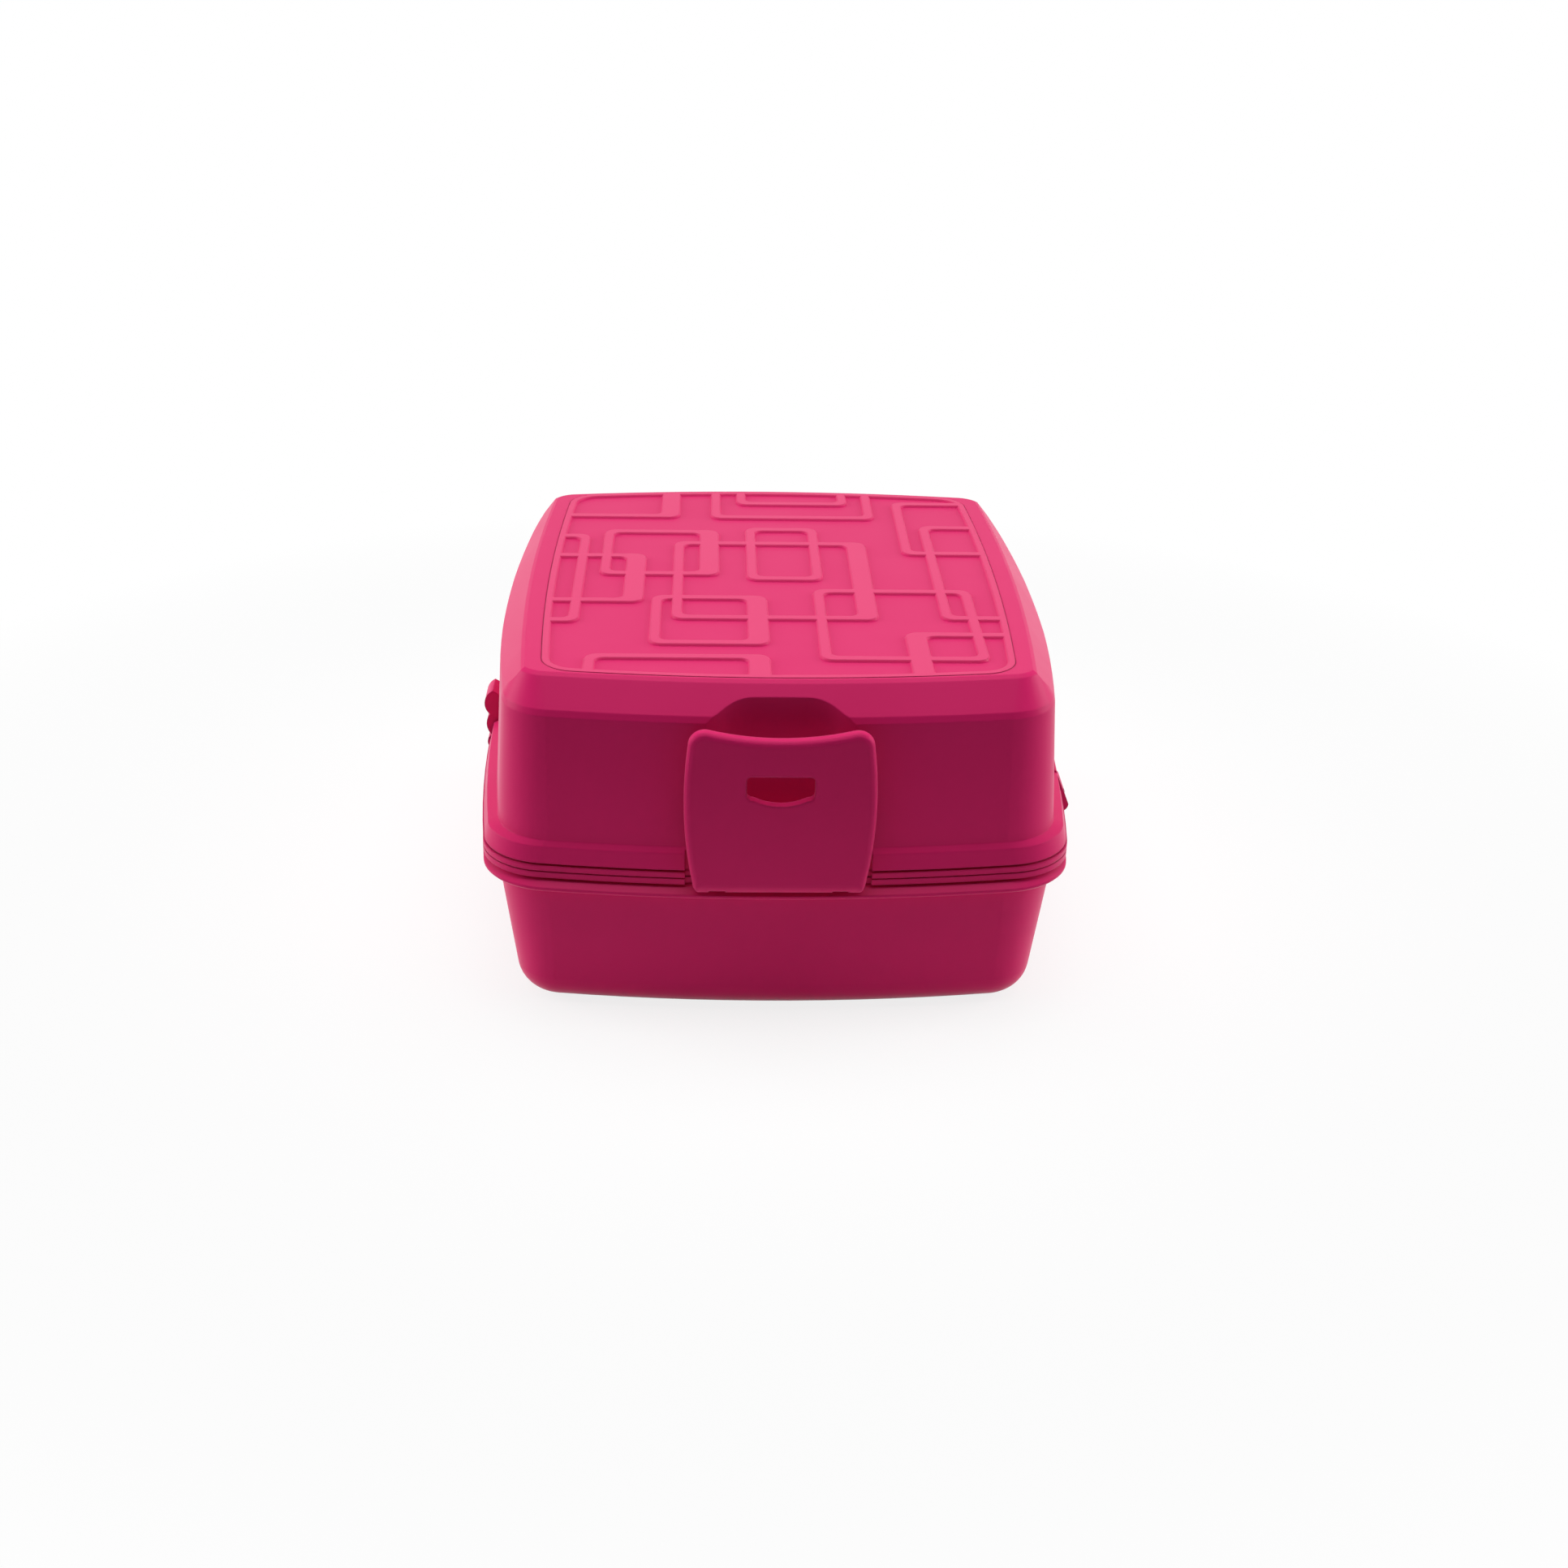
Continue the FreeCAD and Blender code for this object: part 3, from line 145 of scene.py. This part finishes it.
panel_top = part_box("lid_panel")[1][2]
ring_highlight = (panel_top - HIGHLIGHT_STARTS, panel_top - HIGHLIGHT_FULL, RING_HIGHLIGHT_COLOUR)
magenta = moulded_polypropylene(
    "moulded_polypropylene_magenta", SHELL_COLOURS, SHELL_ROUGHNESS, SHELL_EDGE)
latch_magenta = moulded_polypropylene(
    "moulded_polypropylene_latches", SHELL_COLOURS, SHELL_ROUGHNESS, LATCH_EDGE)
embossed = moulded_polypropylene(
    "moulded_polypropylene_embossed", SHELL_COLOURS, SHELL_ROUGHNESS, SHELL_EDGE, ring_highlight)
natural = moulded_polypropylene(
    "moulded_polypropylene_natural", TRAY_COLOURS, TRAY_ROUGHNESS, SHELL_EDGE)
print("plastics:", magenta.name, latch_magenta.name, embossed.name, natural.name)

# %% [markdown]
# The pins are drawn steel wire, cut to length. Drawing leaves fine lines along the wire, so the gloss
# changes quickly across it and slowly along it. A Mapping node stretches plain noise into such lines.

# %% Drawn steel wire
STEEL_COLOUR = "#B9BABC"
LINE_WIDTH = 0.3 * MM
STRETCHED = 0.05


def drawn_steel(name, stretch):
    """Drawn wire, with lines that run along one axis."""
    material, tree, output = new_material(name)
    place = add(tree, "ShaderNodeTexCoord").outputs["Object"]
    along = add(tree, "ShaderNodeMapping", {"Vector": place, "Scale": stretch})
    lines = add(tree, "ShaderNodeTexNoise", {
        "Vector": along.outputs["Vector"], "Scale": 1 / LINE_WIDTH, "Detail": 2.0})
    gloss = add(tree, "ShaderNodeMapRange", {
        "Value": lines.outputs["Fac"], "To Min": 0.2, "To Max": 0.42})
    steel = add(tree, "ShaderNodeBsdfPrincipled", {
        "Base Color": linear(STEEL_COLOUR), "Metallic": 1.0, "Roughness": gloss.outputs["Result"]})
    tree.links.new(steel.outputs["BSDF"], output.inputs["Surface"])
    return material


wire_x = drawn_steel("drawn_steel_wire_across", (STRETCHED, 1.0, 1.0))
wire_y = drawn_steel("drawn_steel_wire_along", (1.0, STRETCHED, 1.0))
print("wires:", wire_x.name, wire_y.name)

# %% [markdown]
# Each solid keeps its mesh and takes its finish in its material slot. The pins of the end latches lie
# across the box. The pins of the hinge and of the side latch lie along it.

# %% Give the solids their finishes
FINISHES = {
    "base": magenta, "lid": magenta, "lid_panel": embossed, "tray": natural,
    "front_latch": latch_magenta, "rear_latch": latch_magenta, "side_latch": magenta,
    "front_latch_pin": wire_x, "rear_latch_pin": wire_x, "side_latch_pin": wire_y,
    "hinge_pin_front": wire_y, "hinge_pin_rear": wire_y,
}
for node, finish in FINISHES.items():
    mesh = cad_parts[node].data
    mesh.materials.clear()
    mesh.materials.append(finish)
    print(node, "is", finish.name, "with", len(mesh.polygons), "faces")

# %% [markdown]
# The box stands on a wide floor in a bright white surround. To the camera the floor is almost pure
# white, and only the soft shadow under the box shows on it. To the light it is paint, white close to
# the box and grey farther out, so that it throws some light back up but doesn't over-light the walls.

# %% Floor
FLOOR_HALF = 8.0
NEAR, FAR = 0.09, 0.3
NEAR_PAINT, FAR_PAINT = "#F6F6F6", "#8E8E8E"
NEAR_GLOW, FAR_GLOW = 0.82, 1.0


def white_floor():
    """White with a soft shadow to the camera and in reflections, diffuse paint to every other ray."""
    material, tree, output = new_material("white_floor")
    paths = add(tree, "ShaderNodeLightPath")
    place = add(tree, "ShaderNodeTexCoord").outputs["Object"]
    distance = add(tree, "ShaderNodeVectorMath", {0: place}, operation="LENGTH")
    away = add(tree, "ShaderNodeMapRange", {
        "Value": distance.outputs["Value"], "From Min": NEAR, "From Max": FAR}).outputs["Result"]
    coat = add(tree, "ShaderNodeMix", {
        "Factor": away, "A": linear(NEAR_PAINT), "B": linear(FAR_PAINT)}, data_type="RGBA")
    paint = add(tree, "ShaderNodeBsdfDiffuse", {"Color": coat.outputs["Result"]})
    glow = add(tree, "ShaderNodeEmission", {"Color": linear(PURE_WHITE), "Strength": 1.0})
    share = add(tree, "ShaderNodeMapRange", {"Value": away, "To Min": NEAR_GLOW, "To Max": FAR_GLOW})
    mirrored = add(tree, "ShaderNodeMath", {
        0: paths.outputs["Is Camera Ray"], 1: paths.outputs["Is Glossy Ray"]}, operation="MAXIMUM")
    seen = add(tree, "ShaderNodeMath", {
        0: mirrored.outputs["Value"], 1: paths.outputs["Is Transmission Ray"]}, operation="MAXIMUM")
    part = add(tree, "ShaderNodeMath", {
        0: seen.outputs["Value"], 1: share.outputs["Result"]}, operation="MULTIPLY")
    mixed = add(tree, "ShaderNodeMixShader", {
        0: part.outputs["Value"], 1: paint.outputs["BSDF"], 2: glow.outputs["Emission"]})
    tree.links.new(mixed.outputs["Shader"], output.inputs["Surface"])
    return material


floor_mesh = bpy.data.meshes.new("floor")
shape = bmesh.new()
bmesh.ops.create_grid(shape, x_segments=1, y_segments=1, size=FLOOR_HALF)
shape.to_mesh(floor_mesh)
shape.free()
floor = bpy.data.objects.new("floor", floor_mesh)
floor.data.materials.append(white_floor())
bpy.context.scene.collection.objects.link(floor)
print("floor, m:", tuple(floor.dimensions))

# %% [markdown]
# The light is that of a white tent: bright above, behind and at both sides, and darker in front, where
# the camera's opening is. The world gives that as a slow change from front to back. Three large lamps
# shape it: one overhead and one along each side.

# %% The tent
FRONT, BACK = -0.32, 0.4
FRONT_LEVEL, BACK_LEVEL = 0.04, 0.6

world = bpy.data.worlds.new("tent")
bpy.context.scene.world = world
world.use_nodes = True
sky = world.node_tree
sky.nodes.clear()
direction = add(sky, "ShaderNodeTexCoord").outputs["Generated"]
parts = add(sky, "ShaderNodeSeparateXYZ", {"Vector": direction})
level = add(sky, "ShaderNodeMapRange", {
    "Value": parts.outputs["Y"], "From Min": FRONT, "From Max": BACK,
    "To Min": FRONT_LEVEL, "To Max": BACK_LEVEL})
to_camera = add(sky, "ShaderNodeLightPath").outputs["Is Camera Ray"]
strength = add(sky, "ShaderNodeMix", {"Factor": to_camera, "A": level.outputs["Result"], "B": 1.0})
surround = add(sky, "ShaderNodeBackground", {
    "Color": linear(PURE_WHITE), "Strength": strength.outputs["Result"]})
add(sky, "ShaderNodeOutputWorld", {"Surface": surround.outputs["Background"]})
print("world:", world.name)

# %% Lamps
BOX_MIDDLE = Vector((0, 0, 0.05))
TOP_SIZE, TOP_POWER = 0.8, 5.9
SIDE_SIZE, SIDE_POWER = 0.5, 4.0


def softbox(name, place, size, power):
    """A large square lamp that faces the middle of the box."""
    lamp = bpy.data.lights.new(name, "AREA")
    lamp.shape = "RECTANGLE"
    lamp.size = lamp.size_y = size
    lamp.energy = power
    holder = bpy.data.objects.new(name, lamp)
    aim = BOX_MIDDLE - Vector(place)
    holder.matrix_world = Matrix.Translation(place) @ aim.to_track_quat("-Z", "Y").to_matrix().to_4x4()
    bpy.context.scene.collection.objects.link(holder)
    print(name, "gives", power, "W")


softbox("lamp_top", (0.0, -0.02, 0.9), TOP_SIZE, TOP_POWER)
softbox("lamp_left", (-0.75, 0.12, 0.25), SIDE_SIZE, SIDE_POWER)
softbox("lamp_right", (0.75, 0.12, 0.25), SIDE_SIZE, SIDE_POWER)

# %% [markdown]
# The camera stands in front of one end, a little to the left, and looks 25 degrees down. Its place,
# its small turn and its slight tilt come from fitting the straight and curved edges of the box to the
# photograph, in pixels of a picture 1932 wide and 1932 high.

# %% Camera
PICTURE = 1932
FOCAL_PIXELS = 2743.19
SENSOR = 36.0
PITCH = math.radians(25.0)
YAW = -0.03856
ROLL = 0.021028
EYE = Vector((-15.956, -510.402, 262.3)) * MM

across = Vector((math.cos(YAW), math.sin(YAW), 0))
ahead = Vector((-math.sin(YAW) * math.cos(PITCH), math.cos(YAW) * math.cos(PITCH), -math.sin(PITCH)))
upward = Vector((-math.sin(YAW) * math.sin(PITCH), math.cos(YAW) * math.sin(PITCH), math.cos(PITCH)))
right = math.cos(ROLL) * across + math.sin(ROLL) * upward
above = math.cos(ROLL) * upward - math.sin(ROLL) * across

camera_data = bpy.data.cameras.new("camera")
camera_data.sensor_width = SENSOR
camera_data.sensor_fit = "HORIZONTAL"
camera_data.lens = SENSOR * FOCAL_PIXELS / PICTURE
camera = bpy.data.objects.new("camera", camera_data)
turn = Matrix((right, above, -ahead)).transposed()
camera.matrix_world = Matrix.Translation(EYE) @ turn.to_4x4()
bpy.context.scene.collection.objects.link(camera)
bpy.context.scene.camera = camera
bpy.context.scene.view_settings.view_transform = "Standard"
print("lens, mm:", round(camera_data.lens, 2))
